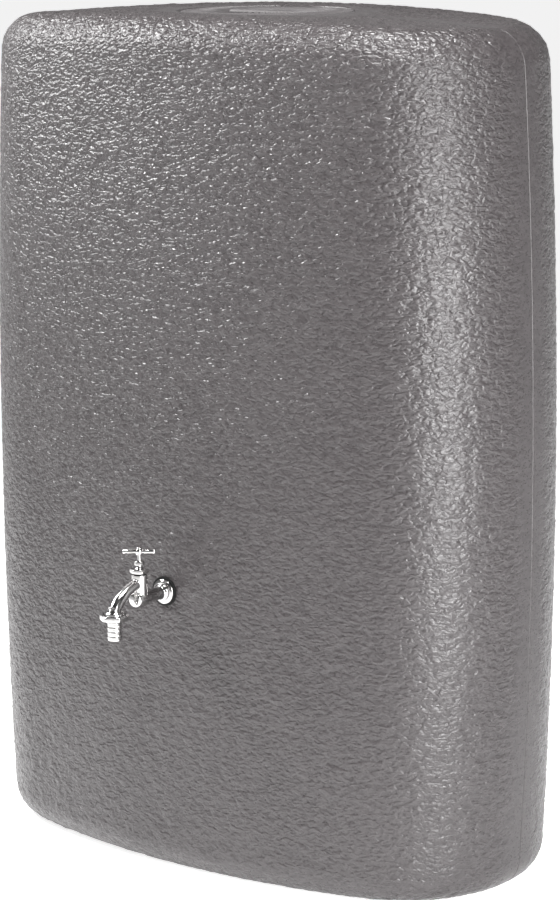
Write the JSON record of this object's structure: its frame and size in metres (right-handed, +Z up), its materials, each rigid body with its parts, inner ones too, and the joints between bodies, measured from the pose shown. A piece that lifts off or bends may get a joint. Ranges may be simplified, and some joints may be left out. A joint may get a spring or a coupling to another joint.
{
  "type": "rain barrel",
  "caption": "Flattened upright rain tank with a stone-textured wall, flush top lid, side hose inlet and a screw-down bib tap with hose union on the front.",
  "frame": {"origin": "on the ground, under the middle of the tank", "axes": "+Z up, -Y out of the tap side, +X to the right as seen facing the tap"},
  "size_m": [0.8213, 0.5246, 1.07],
  "materials": {
    "tank": "stone-textured moulded polyethylene, satin",
    "lid": "fine-grained moulded plastic",
    "chrome": "plated, slightly soft polish",
    "brass": "machined",
    "rubber": "matt black",
    "fitting": "black moulded plastic"
  },
  "bodies": {
    "tank": {"tank_shell": "tank", "tap_body": "chrome", "wall_gasket": "rubber", "wall_rosette": "chrome", "inner_washer": "rubber", "tap_backnut": "brass", "bonnet": "chrome", "bonnet_seal": "rubber", "gland_nut": "chrome", "gland_packing": "rubber", "inlet_spigot": "fitting", "inlet_gasket": "rubber", "inlet_backnut": "fitting"},
    "valve": {"valve_jumper": "brass", "valve_washer": "rubber", "jumper_nut": "brass"},
    "handle": {"spindle": "chrome", "t_handle": "chrome", "handle_screw": "chrome"},
    "tail": {"hose_tail": "chrome", "union_washer": "rubber"},
    "nut": {"union_nut": "chrome"},
    "lid_seal": {"lid_gasket": "rubber"},
    "lid": {"lid_cap": "lid"}
  },
  "joints": [
    {"name": "valve_lift", "type": "slide", "parent": "tank", "child": "valve", "axis": [0, 0, 1], "range_m": [0, 0.005]},
    {"name": "handle_turn", "type": "hinge", "parent": "valve", "child": "handle", "pos_m": [-0.007, -0.25355, 0.4234], "axis": [0, 0, 1], "range_deg": [0, 900]},
    {"name": "tail_drop", "type": "slide", "parent": "tank", "child": "tail", "axis": [0, 0, -1], "range_m": [0, 0.00454]},
    {"name": "nut_turn", "type": "hinge", "parent": "tail", "child": "nut", "pos_m": [-0.007, -0.30155, 0.3502], "axis": [0, 0, -1], "range_deg": [0, 900]},
    {"name": "lid_lift", "type": "slide", "parent": "tank", "child": "lid_seal", "axis": [0, 0, 1], "range_m": [0, 0.15]},
    {"name": "lid_turn", "type": "hinge", "parent": "lid_seal", "child": "lid", "pos_m": [0, 0, 1.067], "axis": [0, 0, 1], "continuous": true}
  ],
  "couplings": [
    {"joint": "valve_lift", "follows": "handle_turn", "m_per_rad": 0.000318},
    {"joint": "tail_drop", "follows": "nut_turn", "m_per_rad": 0.00028871}
  ]
}
